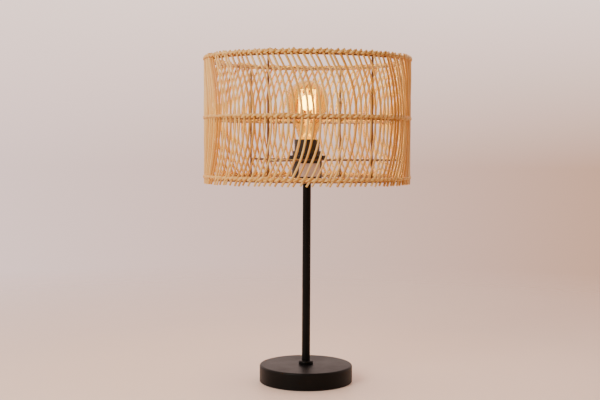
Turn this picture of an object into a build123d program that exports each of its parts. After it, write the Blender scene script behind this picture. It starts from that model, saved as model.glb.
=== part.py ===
from build123d import *
import os
from math import asin, cos, degrees, pi, radians, sin, sqrt

# Table lamp: a weighted steel foot, a slim pole, an E27 lampholder and a drum shade of bowed rattan
# rods tied to wire hoops. Millimetres, +Z up, the front is -Y, the origin is under the foot's centre.

os.makedirs("parts", exist_ok=True)

# Fits
seat_gap = 0.1          # between flat faces that move on each other
turn_gap = 0.3          # radial, around what turns or slides
thread_fit = 0.05       # radial, a thread in its nut or bore
drop_fit = 0.25         # radial, a piece dropped into a recess
tie_gap = 0.05          # between wires and rods that only touch
binding_gap = 0.3       # between rods and the binding that runs round them

# Foot
base_diameter = 135.0
base_height = 25.0
felt_thickness = 1.2
felt_inset = 1.0
shell_wall = 2.0
shell_edge_radius = 2.5
plate_thickness = 1.0
wiring_space = 8.8      # free height between bottom plate and weight
weight_foot_count = 3
weight_foot_radius = 6.0
weight_foot_inset = 8.0
plate_screw_radius = 2.0
plate_screw_head_radius = 3.8
plate_screw_length = 10.0
pocket_width = 26.0     # wiring pocket in the weight, open to the back
pocket_depth = 6.0
pocket_start = 20.0

# Cable inlet at the back of the foot
inlet_bore_radius = 3.4
inlet_barrel_wall = 1.2
inlet_flange_radius = 6.0
inlet_flange_thickness = 2.0
inlet_length_inside = 10.5
inlet_nut_thickness = 3.0
inlet_height_above_plate = 7.3

# Terminal block and its wires
block_width = 22.0
block_depth = 14.0
block_height = 11.0
block_poles = 3
block_screw_radius = 1.6
wire_radius = 1.0
wire_bend_radius = 3.0
wire_offset = 1.3       # each wire's distance from the pole's axis
earth_screw_radius = 2.0
earth_screw_head_radius = 3.6
earth_screw_head_height = 2.0
earth_screw_length = 6.0

# Pole and what clamps it
pole_diameter = 12.0
pole_wall = 0.95
pole_top = 294.3
collar_diameter = 21.0
collar_height = 5.5
collar_edge_radius = 2.0
nipple_bore_radius = 3.5
nipple_engagement = 12.0
nut_thickness = 3.0
washer_thickness = 0.8
washer_overhang = 3.5
nut_overhang = 2.0      # half the difference between a nut's flats and its thread
nipple_end = 1.0        # thread showing past a nut

# Lampholder
cap_wall = 3.05
cap_height = 27.5
cap_floor = 2.5
cap_edge_radius = 1.6
skirt_reach = 5.6       # from the bulb's cap to the skirt's outside
skirt_wall = 1.8
skirt_height_above_cap = 30.5
skirt_engagement = 8.8
skirt_thread_pitch = 2.5
skirt_thread_depth = 0.5
skirt_thread_width = 1.1
skirt_thread_length = 22.5
insert_thickness = 6.8
insert_boss_gap = 1.0   # between the insert's boss and the skirt
insert_boss_height = 10.4
contact_width = 5.0
contact_length = 12.0
contact_strip = 0.5
contact_rise = 2.0
holder_terminal_x = 9.0
holder_terminal_screw_y = -5.5
holder_screw_radius = 1.25
holder_screw_head_radius = 2.2
holder_screw_head_height = 1.4
holder_screw_length = 4.5
label_height = 19.0
label_arc = 91.0
label_turn = 13.0       # degrees from the front towards +X
label_thickness = 0.15
label_rise = 4.7

# Bulb, E27
screw_pitch = 3.629
bulb_cap_radius = 13.0
bulb_thread_depth = 0.8
bulb_cap_wall = 0.4
bulb_cap_length = 23.0
bulb_cap_threads = 5
bulb_insulator_height = 2.6
bulb_tip_radius = 4.5
bulb_tip_height = 1.0
shell_thickness = 0.4
shell_length = 26.0
glass_radius = 31.0
glass_wall = 0.9
neck_flare = 2.15           # how far the neck opens above the cap
neck_height = 6.0
bulb_length = 112.0
glass_blend_angle = 32.0    # below the globe's widest circle, where the neck's curve starts
glass_seat = 1.2            # how far the glass reaches into the cap
driver_clearance = 1.8      # between the driver and the cap's wall
driver_height = 14.0
stem_flare_clearance = 0.35 # between the stem's flare and the neck's inside
stem_radius = 3.6
stem_flare_height = 12.0
stem_height = 32.0
post_radius = 1.5
filament_count = 8
filament_radius = 1.1
filament_length = 38.0
filament_circle_radius = 11.5
filament_height = 60.0      # from the bulb's tip to the filaments' lower ends
support_radius = 0.5

# Ring nut that clamps the shade
ring_nut_flange_width = 7.2
ring_nut_flange_height = 5.0
ring_nut_wall = 2.4
ring_nut_height = 11.3
ring_nut_grips = 36
ring_nut_grip_radius = 0.9
ring_nut_edge_radius = 0.8
friction_washer_thickness = 0.6
friction_washer_inset = 1.5 # inside the ring nut's flange

# Shade
shade_diameter = 300.0
hoop_spacing = 84.0
hoop_wire_radius = 2.0
fitter_rise = 27.0      # the spider ring above the lowest hoop
spider_ring_width = 10.2
spider_ring_thickness = 1.6
spider_arm_count = 3
spider_arm_radius = 1.6
spider_turn = -22.0     # degrees from the front towards +X
upright_count = 6
upright_radius = 1.5
rod_radius = 1.6
rod_sides = 8           # flats on a rod, which the visual model rounds
rod_spacing = 8.2
rod_overhang = 6.6
rod_groups = 6          # the rods are kept in one node for each sixth of the shade
rod_bow = 22.5          # sideways rise of each rod between the outer hoops
binding_height = 4.4
binding_rise = 2.8      # the bindings' middle above the hoops' wire
binding_thickness = 1.05
binding_edge_radius = 0.4

# Heights and radii that follow from the sizes above
base_radius = base_diameter / 2
plate_bottom = felt_thickness
plate_top = plate_bottom + plate_thickness
weight_bottom = plate_top + wiring_space
weight_top = base_height - shell_wall
weight_radius = base_radius - shell_wall - drop_fit
weight_foot_circle = weight_radius - weight_foot_inset - weight_foot_radius
screw_head_depth = plate_screw_head_radius - plate_screw_radius
pole_radius = pole_diameter / 2
pole_bore_radius = pole_radius - pole_wall
nipple_radius = pole_bore_radius - thread_fit
nipple_hole_radius = nipple_radius + drop_fit
lower_nipple_bottom = weight_bottom - washer_thickness - nut_thickness - nipple_end
upper_nipple_top = pole_top + cap_floor + nut_thickness + nipple_end
inlet_z = plate_top + inlet_height_above_plate
inlet_barrel_radius = inlet_bore_radius + inlet_barrel_wall
inlet_nut_radius = inlet_barrel_radius + nut_overhang
inlet_nut_face = sqrt((base_radius - shell_wall) ** 2 - inlet_flange_radius ** 2) - seat_gap
block_top = weight_bottom + pocket_depth
block_bottom = block_top - block_height
block_start = pocket_start + drop_fit * 4
block_pitch = block_width / block_poles
wire_run_z = (plate_top + lower_nipple_bottom) / 2
wire_entry_z = weight_bottom - wire_radius - drop_fit
bulb_cap_root = bulb_cap_radius - bulb_thread_depth
skirt_radius = bulb_cap_radius + skirt_reach
cap_top = pole_top + cap_height
cap_bore_radius = skirt_radius + thread_fit
cap_radius = cap_bore_radius + cap_wall
insert_boss_radius = skirt_radius - skirt_wall - insert_boss_gap
skirt_bottom = cap_top - skirt_engagement
skirt_top = cap_top + skirt_height_above_cap
insert_bottom = skirt_bottom - insert_thickness
insert_radius = cap_bore_radius - drop_fit
boss_top = insert_bottom + insert_thickness + insert_boss_height
contact_top = boss_top + contact_rise + contact_strip
tip_bottom = contact_top + seat_gap
tip_top = tip_bottom + bulb_tip_height
cap_shell_bottom = tip_top + bulb_insulator_height
cap_shell_top = cap_shell_bottom + bulb_cap_length
globe_z = tip_bottom + bulb_length - glass_radius
stem_bottom = cap_shell_top
filament_bottom = tip_bottom + filament_height
filament_top = filament_bottom + filament_length
shell_bore_radius = bulb_cap_radius + turn_gap
neck_radius = bulb_cap_root - bulb_cap_wall - thread_fit
neck_top_radius = neck_radius + neck_flare
stem_flare_radius = neck_radius - glass_wall - stem_flare_clearance
driver_radius = bulb_cap_root - bulb_cap_wall - driver_clearance
spider_bottom = cap_top + seat_gap
spider_top = spider_bottom + spider_ring_thickness
spider_z = (spider_bottom + spider_top) / 2
spider_bore_radius = skirt_radius + turn_gap
spider_ring_radius = spider_bore_radius + spider_ring_width
washer_bottom = spider_top + seat_gap
washer_top = washer_bottom + friction_washer_thickness
ring_nut_bottom = washer_top + seat_gap
ring_nut_bore_radius = skirt_radius + turn_gap
ring_nut_collar_radius = ring_nut_bore_radius + ring_nut_wall
ring_nut_flange_radius = ring_nut_collar_radius + ring_nut_flange_width
friction_washer_radius = ring_nut_flange_radius - friction_washer_inset
hoop_low_z = spider_z - fitter_rise
hoop_heights = [hoop_low_z, hoop_low_z + hoop_spacing, hoop_low_z + 2 * hoop_spacing]
rod_circle = shade_diameter / 2 - binding_thickness - binding_gap - rod_radius
hoop_circle = rod_circle - rod_radius - tie_gap - hoop_wire_radius
upright_circle = hoop_circle - hoop_wire_radius - tie_gap - upright_radius
rod_count = round(2 * pi * rod_circle / rod_spacing)
front = -90.0           # the front's direction, in degrees from +X


# ---------------------------------------------------------------- foot

with BuildPart() as felt_pad:
    with BuildSketch():
        Circle(base_radius - felt_inset)
    extrude(amount=felt_thickness)
felt_pad.part.label = "felt_pad"
export_step(felt_pad.part, "parts/felt_pad.step")

with BuildPart() as base_shell:
    with BuildSketch(Plane.XY.offset(plate_bottom)):
        Circle(base_radius)
    extrude(amount=base_height - plate_bottom)
    fillet(base_shell.edges().group_by(Axis.Z)[-1], radius=shell_edge_radius)
    with BuildSketch(Plane.XY.offset(plate_bottom)):
        Circle(base_radius - shell_wall)
    extrude(amount=weight_top - plate_bottom, mode=Mode.SUBTRACT)
    with BuildSketch(Plane.XY.offset(weight_top)):
        Circle(nipple_hole_radius)
    extrude(amount=shell_wall, mode=Mode.SUBTRACT)
    with BuildSketch(Plane.XZ.offset(-base_radius)):
        with Locations((0, inlet_z)):
            Circle(inlet_barrel_radius + thread_fit)
    extrude(amount=base_radius / 2, mode=Mode.SUBTRACT)
base_shell.part.label = "base_shell"
export_step(base_shell.part, "parts/base_shell.step")

with BuildPart() as base_bottom_plate:
    with BuildSketch(Plane.XY.offset(plate_bottom)):
        Circle(weight_radius)
    extrude(amount=plate_thickness)
    with BuildSketch(Plane.XY.offset(plate_bottom)):
        with PolarLocations(weight_foot_circle, weight_foot_count, start_angle=front):
            Circle(plate_screw_head_radius + drop_fit)
    extrude(amount=plate_thickness, taper=45, mode=Mode.SUBTRACT)
base_bottom_plate.part.label = "base_bottom_plate"
export_step(base_bottom_plate.part, "parts/base_bottom_plate.step")

with BuildPart() as bottom_plate_screws:
    with BuildSketch(Plane.XY.offset(plate_bottom)):
        with PolarLocations(weight_foot_circle, weight_foot_count, start_angle=front):
            Circle(plate_screw_head_radius)
    extrude(amount=screw_head_depth, taper=45)
    with BuildSketch(Plane.XY.offset(plate_bottom + screw_head_depth)):
        with PolarLocations(weight_foot_circle, weight_foot_count, start_angle=front):
            Circle(plate_screw_radius)
    extrude(amount=plate_screw_length - screw_head_depth)
    with BuildSketch(Plane.XY.offset(plate_bottom)):
        with PolarLocations(weight_foot_circle, weight_foot_count, start_angle=front):
            Rectangle(plate_screw_head_radius * 1.2, screw_head_depth / 3)
            Rectangle(screw_head_depth / 3, plate_screw_head_radius * 1.2)
    extrude(amount=screw_head_depth / 2, mode=Mode.SUBTRACT)
bottom_plate_screws.part.label = "bottom_plate_screws"
export_step(bottom_plate_screws.part, "parts/bottom_plate_screws.step")

with BuildPart() as base_weight:
    with BuildSketch(Plane.XY.offset(weight_bottom)):
        Circle(weight_radius)
    extrude(amount=weight_top - weight_bottom)
    with BuildSketch(Plane.XY.offset(plate_top)):
        with PolarLocations(weight_foot_circle, weight_foot_count, start_angle=front):
            Circle(weight_foot_radius)
    extrude(amount=wiring_space)
    with BuildSketch(Plane.XY.offset(weight_bottom)):
        with Locations((0, pocket_start + base_radius / 2)):
            Rectangle(pocket_width, base_radius)
    extrude(amount=pocket_depth, mode=Mode.SUBTRACT)
    with BuildSketch(Plane.XY.offset(weight_bottom)):
        Circle(nipple_hole_radius)
        with Locations((-weight_foot_circle / 2, 0)):
            Circle(earth_screw_radius + thread_fit)
    extrude(amount=weight_top - weight_bottom, mode=Mode.SUBTRACT)
    with BuildSketch(Plane.XY.offset(plate_top)):
        with PolarLocations(weight_foot_circle, weight_foot_count, start_angle=front):
            Circle(plate_screw_radius + thread_fit)
    extrude(amount=plate_screw_length, mode=Mode.SUBTRACT)
    with BuildSketch(Plane.XY.offset(plate_bottom)):
        with PolarLocations(weight_foot_circle, weight_foot_count, start_angle=front):
            Circle(plate_screw_head_radius + drop_fit)
    extrude(amount=screw_head_depth, taper=45, mode=Mode.SUBTRACT)
base_weight.part.label = "base_weight"
export_step(base_weight.part, "parts/base_weight.step")

with BuildPart() as inlet_bush:
    with BuildSketch(Plane.XZ.offset(-base_radius - inlet_flange_thickness)):
        with Locations((0, inlet_z)):
            Circle(inlet_flange_radius)
    extrude(amount=inlet_flange_thickness)
    fillet(inlet_bush.edges().group_by(Axis.Y)[-1], radius=inlet_flange_thickness / 3)
    with BuildSketch(Plane.XZ.offset(-base_radius)):
        with Locations((0, inlet_z)):
            Circle(inlet_barrel_radius)
    extrude(amount=inlet_length_inside)
    with BuildSketch(Plane.XZ.offset(-base_radius - inlet_flange_thickness)):
        with Locations((0, inlet_z)):
            Circle(inlet_bore_radius)
    extrude(amount=inlet_flange_thickness + inlet_length_inside, mode=Mode.SUBTRACT)
inlet_bush.part.label = "inlet_bush"
export_step(inlet_bush.part, "parts/inlet_bush.step")

with BuildPart() as inlet_nut:
    with BuildSketch(Plane.XZ.offset(-inlet_nut_face)):
        with Locations((0, inlet_z)):
            RegularPolygon(inlet_nut_radius, 6)
            Circle(inlet_barrel_radius + thread_fit, mode=Mode.SUBTRACT)
    extrude(amount=inlet_nut_thickness)
inlet_nut.part.label = "inlet_nut"
export_step(inlet_nut.part, "parts/inlet_nut.step")

with BuildPart() as terminal_block:
    with BuildSketch(Plane.XY.offset(block_bottom)):
        with Locations((0, block_start + block_depth / 2)):
            Rectangle(block_width, block_depth)
    extrude(amount=block_height)
    with BuildSketch(Plane.XY.offset(block_bottom)):
        with Locations((0, block_start + block_depth / 2)):
            with GridLocations(block_pitch, block_depth / 2, block_poles, 2):
                Circle(block_screw_radius + thread_fit)
    extrude(amount=block_height / 2, mode=Mode.SUBTRACT)
    with BuildSketch(Plane.XZ.offset(-block_start - block_depth)):
        with Locations((0, wire_entry_z)):
            with GridLocations(block_pitch, 1, block_poles, 1):
                Circle(wire_radius + drop_fit)
    extrude(amount=block_depth, mode=Mode.SUBTRACT)
terminal_block.part.label = "terminal_block"
export_step(terminal_block.part, "parts/terminal_block.step")

with BuildPart() as terminal_block_screws:
    with BuildSketch(Plane.XY.offset(block_bottom + block_screw_radius / 2)):
        with Locations((0, block_start + block_depth / 2)):
            with GridLocations(block_pitch, block_depth / 2, block_poles, 2):
                Circle(block_screw_radius)
    extrude(amount=wire_entry_z - wire_radius - drop_fit - block_bottom - block_screw_radius / 2)
    with BuildSketch(Plane.XY.offset(block_bottom + block_screw_radius / 2)):
        with Locations((0, block_start + block_depth / 2)):
            with GridLocations(block_pitch, block_depth / 2, block_poles, 2):
                Rectangle(block_screw_radius * 2, block_screw_radius / 3)
    extrude(amount=block_screw_radius / 2, mode=Mode.SUBTRACT)
terminal_block_screws.part.label = "terminal_block_screws"
export_step(terminal_block_screws.part, "parts/terminal_block_screws.step")

with BuildPart() as earth_screw:
    with BuildSketch(Plane.XY.offset(weight_bottom - washer_thickness - earth_screw_head_height)):
        with Locations((-weight_foot_circle / 2, 0)):
            Circle(earth_screw_head_radius)
    extrude(amount=earth_screw_head_height)
    with BuildSketch(Plane.XY.offset(weight_bottom - washer_thickness)):
        with Locations((-weight_foot_circle / 2, 0)):
            Circle(earth_screw_radius)
    extrude(amount=earth_screw_length)
    with BuildSketch(Plane.XY.offset(weight_bottom - washer_thickness - earth_screw_head_height)):
        with Locations((-weight_foot_circle / 2, 0)):
            Rectangle(earth_screw_head_radius * 1.2, earth_screw_head_height / 3)
            Rectangle(earth_screw_head_height / 3, earth_screw_head_radius * 1.2)
    extrude(amount=earth_screw_head_height / 2, mode=Mode.SUBTRACT)
earth_screw.part.label = "earth_screw"
export_step(earth_screw.part, "parts/earth_screw.step")

with BuildPart() as earth_tag:
    with BuildSketch(Plane.XY.offset(weight_bottom - washer_thickness)):
        with Locations((-weight_foot_circle / 2, 0)):
            Circle(earth_screw_head_radius)
            Circle(earth_screw_radius + thread_fit, mode=Mode.SUBTRACT)
        with Locations((-weight_foot_circle / 2, earth_screw_head_radius + wire_radius)):
            Rectangle(wire_radius * 3, wire_radius * 3)
    extrude(amount=washer_thickness)
earth_tag.part.label = "earth_tag"
export_step(earth_tag.part, "parts/earth_tag.step")

# ---------------------------------------------------------------- pole

with BuildPart() as pole_collar:
    with BuildSketch(Plane.XY.offset(base_height)):
        Circle(collar_diameter / 2)
        Circle(pole_radius + thread_fit, mode=Mode.SUBTRACT)
    extrude(amount=collar_height)
    collar_rim = pole_collar.edges().group_by(Axis.Z)[-1].sort_by(SortBy.RADIUS)[-1]
    fillet(collar_rim, radius=collar_edge_radius)
pole_collar.part.label = "pole_collar"
export_step(pole_collar.part, "parts/pole_collar.step")

with BuildPart() as pole:
    with BuildSketch(Plane.XY.offset(base_height)):
        Circle(pole_radius)
        Circle(pole_bore_radius, mode=Mode.SUBTRACT)
    extrude(amount=pole_top - base_height)
pole.part.label = "pole"
export_step(pole.part, "parts/pole.step")

with BuildPart() as lower_nipple:
    with BuildSketch(Plane.XY.offset(lower_nipple_bottom)):
        Circle(nipple_radius)
        Circle(nipple_bore_radius, mode=Mode.SUBTRACT)
    extrude(amount=base_height + nipple_engagement - lower_nipple_bottom)
lower_nipple.part.label = "lower_nipple"
export_step(lower_nipple.part, "parts/lower_nipple.step")

with BuildPart() as lower_washer:
    with BuildSketch(Plane.XY.offset(weight_bottom - washer_thickness)):
        Circle(nipple_radius + washer_overhang)
        Circle(nipple_radius + thread_fit, mode=Mode.SUBTRACT)
    extrude(amount=washer_thickness)
lower_washer.part.label = "lower_washer"
export_step(lower_washer.part, "parts/lower_washer.step")

with BuildPart() as lower_nut:
    with BuildSketch(Plane.XY.offset(weight_bottom - washer_thickness - nut_thickness)):
        RegularPolygon(nipple_radius + nut_overhang, 6, major_radius=False)
        Circle(nipple_radius + thread_fit, mode=Mode.SUBTRACT)
    extrude(amount=nut_thickness)
lower_nut.part.label = "lower_nut"
export_step(lower_nut.part, "parts/lower_nut.step")

with BuildPart() as upper_nipple:
    with BuildSketch(Plane.XY.offset(pole_top - nipple_engagement)):
        Circle(nipple_radius)
        Circle(nipple_bore_radius, mode=Mode.SUBTRACT)
    extrude(amount=upper_nipple_top - pole_top + nipple_engagement)
upper_nipple.part.label = "upper_nipple"
export_step(upper_nipple.part, "parts/upper_nipple.step")

with BuildPart() as upper_nut:
    with BuildSketch(Plane.XY.offset(pole_top + cap_floor)):
        RegularPolygon(nipple_radius + nut_overhang, 6, major_radius=False)
        Circle(nipple_radius + thread_fit, mode=Mode.SUBTRACT)
    extrude(amount=nut_thickness)
upper_nut.part.label = "upper_nut"
export_step(upper_nut.part, "parts/upper_nut.step")

# ---------------------------------------------------------------- wires inside

upper_bend_z = upper_nipple_top + wire_bend_radius
terminal_bend_z = insert_bottom - wire_bend_radius / 2


def inner_route(block_x, side):
    """Route of one lamp wire: terminal block, across the foot, up the pole, holder terminal."""
    FilletPolyline(
        (block_x, block_start + wire_bend_radius, wire_entry_z),
        (block_x, block_start - wire_bend_radius, wire_entry_z),
        (block_x, block_start - wire_bend_radius * 3, wire_run_z),
        (side * wire_offset, 0, wire_run_z),
        (side * wire_offset, 0, upper_bend_z),
        (side * holder_terminal_x, 0, terminal_bend_z),
        (side * holder_terminal_x, 0, insert_bottom + wire_bend_radius),
        radius=wire_bend_radius,
    )


with BuildPart() as live_wire:
    with BuildLine() as live_route:
        inner_route(0, -1)
    with BuildSketch(Plane(origin=live_route.line @ 0, z_dir=live_route.line % 0)):
        Circle(wire_radius)
    sweep()
live_wire.part.label = "live_wire"
export_step(live_wire.part, "parts/live_wire.step")

with BuildPart() as neutral_wire:
    with BuildLine() as neutral_route:
        inner_route(block_pitch, 1)
    with BuildSketch(Plane(origin=neutral_route.line @ 0, z_dir=neutral_route.line % 0)):
        Circle(wire_radius)
    sweep()
neutral_wire.part.label = "neutral_wire"
export_step(neutral_wire.part, "parts/neutral_wire.step")

earth_run_z = weight_bottom - washer_thickness - wire_radius

with BuildPart() as earth_wire:
    with BuildLine() as earth_route:
        FilletPolyline(
            (-block_pitch, block_start + wire_bend_radius, wire_entry_z),
            (-block_pitch, block_start - wire_bend_radius, wire_entry_z),
            (-weight_foot_circle / 2, block_start - wire_bend_radius * 3, earth_run_z),
            (-weight_foot_circle / 2, earth_screw_head_radius + wire_radius, earth_run_z),
            radius=wire_bend_radius,
        )
    with BuildSketch(Plane(origin=earth_route.line @ 0, z_dir=earth_route.line % 0)):
        Circle(wire_radius)
    sweep()
earth_wire.part.label = "earth_wire"
export_step(earth_wire.part, "parts/earth_wire.step")

# ---------------------------------------------------------------- lampholder

with BuildPart() as holder_cap:
    with BuildSketch(Plane.XY.offset(pole_top)):
        Circle(cap_radius)
    extrude(amount=cap_height)
    fillet(holder_cap.edges().group_by(Axis.Z)[0], radius=cap_edge_radius)
    with BuildSketch(Plane.XY.offset(pole_top + cap_floor)):
        Circle(cap_bore_radius)
    extrude(amount=cap_height - cap_floor, mode=Mode.SUBTRACT)
    with BuildSketch(Plane.XY.offset(pole_top)):
        Circle(nipple_radius + thread_fit)
    extrude(amount=cap_floor, mode=Mode.SUBTRACT)
holder_cap.part.label = "holder_cap"
export_step(holder_cap.part, "parts/holder_cap.step")

label_start = radians(front + label_turn - label_arc / 2)
label_plane = Plane(
    origin=(0, 0, 0),
    x_dir=(cos(label_start), sin(label_start), 0),
    z_dir=(sin(label_start), -cos(label_start), 0),
)

with BuildPart() as blank_label:
    with BuildSketch(label_plane):
        with Locations((cap_radius + label_thickness / 2, pole_top + label_rise + label_height / 2)):
            Rectangle(label_thickness, label_height)
    revolve(axis=Axis.Z, revolution_arc=label_arc)
blank_label.part.label = "blank_label"
export_step(blank_label.part, "parts/blank_label.step")

with BuildPart() as holder_skirt:
    with BuildSketch(Plane.XY.offset(skirt_bottom)):
        Circle(skirt_radius)
        Circle(skirt_radius - skirt_wall, mode=Mode.SUBTRACT)
    extrude(amount=skirt_top - skirt_bottom)
    fillet(holder_skirt.edges().group_by(Axis.Z)[-1], radius=skirt_wall / 4)
    for groove in range(int(skirt_thread_length / skirt_thread_pitch)):
        groove_z = cap_top + skirt_thread_pitch * (groove + 1)
        with BuildSketch(Plane.XY.offset(groove_z)):
            Circle(skirt_radius)
            Circle(skirt_radius - skirt_thread_depth, mode=Mode.SUBTRACT)
        extrude(amount=skirt_thread_width, mode=Mode.SUBTRACT)
holder_skirt.part.label = "holder_skirt"
export_step(holder_skirt.part, "parts/holder_skirt.step")

with BuildPart() as holder_insert:
    with BuildSketch(Plane.XY.offset(insert_bottom)):
        Circle(insert_radius)
    extrude(amount=insert_thickness)
    with BuildSketch(Plane.XY.offset(insert_bottom + insert_thickness)):
        Circle(insert_boss_radius)
    extrude(amount=insert_boss_height)
    with BuildSketch(Plane.XY.offset(insert_bottom)):
        with GridLocations(holder_terminal_x * 2, 1, 2, 1):
            Circle(wire_radius + drop_fit)
        with Locations((0, holder_terminal_screw_y)):
            with GridLocations(holder_terminal_x * 2, 1, 2, 1):
                Circle(holder_screw_radius + thread_fit)
    extrude(amount=insert_thickness, mode=Mode.SUBTRACT)
holder_insert.part.label = "holder_insert"
export_step(holder_insert.part, "parts/holder_insert.step")

with BuildPart() as holder_terminal_screws:
    with BuildSketch(Plane.XY.offset(insert_bottom - holder_screw_head_height)):
        with Locations((0, holder_terminal_screw_y)):
            with GridLocations(holder_terminal_x * 2, 1, 2, 1):
                Circle(holder_screw_head_radius)
    extrude(amount=holder_screw_head_height)
    with BuildSketch(Plane.XY.offset(insert_bottom)):
        with Locations((0, holder_terminal_screw_y)):
            with GridLocations(holder_terminal_x * 2, 1, 2, 1):
                Circle(holder_screw_radius)
    extrude(amount=holder_screw_length)
holder_terminal_screws.part.label = "holder_terminal_screws"
export_step(holder_terminal_screws.part, "parts/holder_terminal_screws.step")

with BuildPart() as centre_contact:
    with BuildSketch(Plane.XZ.offset(-contact_width / 2)):
        with BuildLine():
            Polyline(
                (-contact_length / 2, boss_top),
                (contact_length / 2, boss_top),
                (contact_length / 2, contact_top),
                (-contact_length / 4, contact_top),
                (-contact_length / 4, contact_top - contact_strip),
                (contact_length / 2 - contact_strip, contact_top - contact_strip),
                (contact_length / 2 - contact_strip, boss_top + contact_strip),
                (-contact_length / 2, boss_top + contact_strip),
                close=True,
            )
        make_face()
    extrude(amount=contact_width)
centre_contact.part.label = "centre_contact"
export_step(centre_contact.part, "parts/centre_contact.step")

with BuildPart() as screw_shell:
    with BuildSketch(Plane.XY.offset(boss_top)):
        Circle(shell_bore_radius + shell_thickness)
        Circle(shell_bore_radius, mode=Mode.SUBTRACT)
    extrude(amount=shell_length)
screw_shell.part.label = "screw_shell"
export_step(screw_shell.part, "parts/screw_shell.step")

# ---------------------------------------------------------------- ring nut and its washer

with BuildPart() as friction_washer:
    with BuildSketch(Plane.XY.offset(washer_bottom)):
        Circle(friction_washer_radius)
        Circle(spider_bore_radius, mode=Mode.SUBTRACT)
    extrude(amount=friction_washer_thickness)
friction_washer.part.label = "friction_washer"
export_step(friction_washer.part, "parts/friction_washer.step")

with BuildPart() as ring_nut:
    with BuildSketch(Plane.XY.offset(ring_nut_bottom)):
        Circle(ring_nut_flange_radius)
    extrude(amount=ring_nut_flange_height)
    fillet(ring_nut.edges(), radius=ring_nut_edge_radius)
    with BuildSketch(Plane.XY.offset(ring_nut_bottom + ring_nut_flange_height)):
        Circle(ring_nut_collar_radius)
    extrude(amount=ring_nut_height - ring_nut_flange_height)
    fillet(ring_nut.edges().group_by(Axis.Z)[-1], radius=ring_nut_edge_radius)
    with BuildSketch(Plane.XY.offset(ring_nut_bottom)):
        Circle(ring_nut_bore_radius)
        with PolarLocations(ring_nut_flange_radius, ring_nut_grips):
            Circle(ring_nut_grip_radius)
    extrude(amount=ring_nut_height, mode=Mode.SUBTRACT)
ring_nut.part.label = "ring_nut"
export_step(ring_nut.part, "parts/ring_nut.step")

# ---------------------------------------------------------------- bulb

with BuildPart() as bulb_tip:
    with BuildSketch(Plane.XY.offset(tip_bottom)):
        Circle(bulb_tip_radius)
    extrude(amount=bulb_tip_height)
    fillet(bulb_tip.edges().group_by(Axis.Z)[0], radius=bulb_tip_height / 2)
bulb_tip.part.label = "bulb_tip"
export_step(bulb_tip.part, "parts/bulb_tip.step")

with BuildPart() as bulb_insulator:
    with BuildSketch(Plane.XY.offset(tip_top)):
        Circle(bulb_tip_radius + bulb_cap_wall)
    with BuildSketch(Plane.XY.offset(cap_shell_bottom)):
        Circle(bulb_cap_root - bulb_cap_wall)
    loft()
bulb_insulator.part.label = "bulb_insulator"
export_step(bulb_insulator.part, "parts/bulb_insulator.step")


with BuildPart() as bulb_cap:
    with BuildSketch(Plane.XY.offset(cap_shell_bottom)):
        Circle(bulb_cap_root)
    extrude(amount=bulb_cap_length)
    for thread in range(bulb_cap_threads):
        thread_z = cap_shell_bottom + screw_pitch * (thread + 0.5)
        ridge_start = (bulb_cap_root - bulb_thread_depth / 4, thread_z)
        ridge_crown = (bulb_cap_radius, thread_z + screw_pitch / 2 - bulb_thread_depth)
        ridge_end = (bulb_cap_root - bulb_thread_depth / 4, thread_z + screw_pitch - bulb_thread_depth * 2)
        with BuildSketch(Plane.XZ):
            with BuildLine():
                ThreePointArc(ridge_start, ridge_crown, ridge_end)
                Line(ridge_end, ridge_start)
            make_face()
        revolve(axis=Axis.Z)
    with BuildSketch(Plane.XY.offset(cap_shell_bottom)):
        Circle(bulb_cap_root - bulb_cap_wall)
    extrude(amount=bulb_cap_length, mode=Mode.SUBTRACT)
bulb_cap.part.label = "bulb_cap"
export_step(bulb_cap.part, "parts/bulb_cap.step")

with BuildPart() as bulb_driver:
    with BuildSketch(Plane.XY.offset(cap_shell_bottom + bulb_cap_wall)):
        Circle(driver_radius)
    extrude(amount=driver_height)
bulb_driver.part.label = "bulb_driver"
export_step(bulb_driver.part, "parts/bulb_driver.step")


def globe_outline(inset):
    """Half outline of the bulb's glass, pulled in by inset, from the neck up to the axis."""
    blend = radians(glass_blend_angle)
    radius = glass_radius - inset
    neck_foot = (neck_radius - inset, cap_shell_top - glass_seat)
    neck_rim = (neck_radius - inset, cap_shell_top)
    neck_end = (neck_top_radius - inset, cap_shell_top + neck_height)
    globe_start = (radius * cos(blend), globe_z - radius * sin(blend))
    Line(neck_foot, neck_rim)
    neck = Line(neck_rim, neck_end)
    Spline(neck_end, globe_start, tangents=(neck % 1, (sin(blend), cos(blend))))
    globe = CenterArc((0, globe_z), radius, -glass_blend_angle, 90 + glass_blend_angle)
    Polyline(globe @ 1, (0, cap_shell_top - glass_seat), neck_foot)


with BuildPart() as bulb_glass:
    with BuildSketch(Plane.XZ):
        with BuildLine():
            globe_outline(0)
        make_face()
        with BuildLine():
            globe_outline(glass_wall)
        make_face(mode=Mode.SUBTRACT)
    revolve(axis=Axis.Z)
bulb_glass.part.label = "bulb_glass"
export_step(bulb_glass.part, "parts/bulb_glass.step")

with BuildPart() as bulb_stem:
    with BuildSketch(Plane.XY.offset(stem_bottom)):
        Circle(stem_flare_radius)
    with BuildSketch(Plane.XY.offset(stem_bottom + stem_flare_height)):
        Circle(stem_radius)
    loft()
    with BuildSketch(Plane.XY.offset(stem_bottom + stem_flare_height)):
        Circle(stem_radius)
    extrude(amount=stem_height - stem_flare_height)
    with BuildSketch(Plane.XY.offset(stem_bottom + stem_height)):
        Circle(post_radius)
    extrude(amount=filament_top - stem_bottom - stem_height + support_radius * 4)
bulb_stem.part.label = "bulb_stem"
export_step(bulb_stem.part, "parts/bulb_stem.step")

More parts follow.
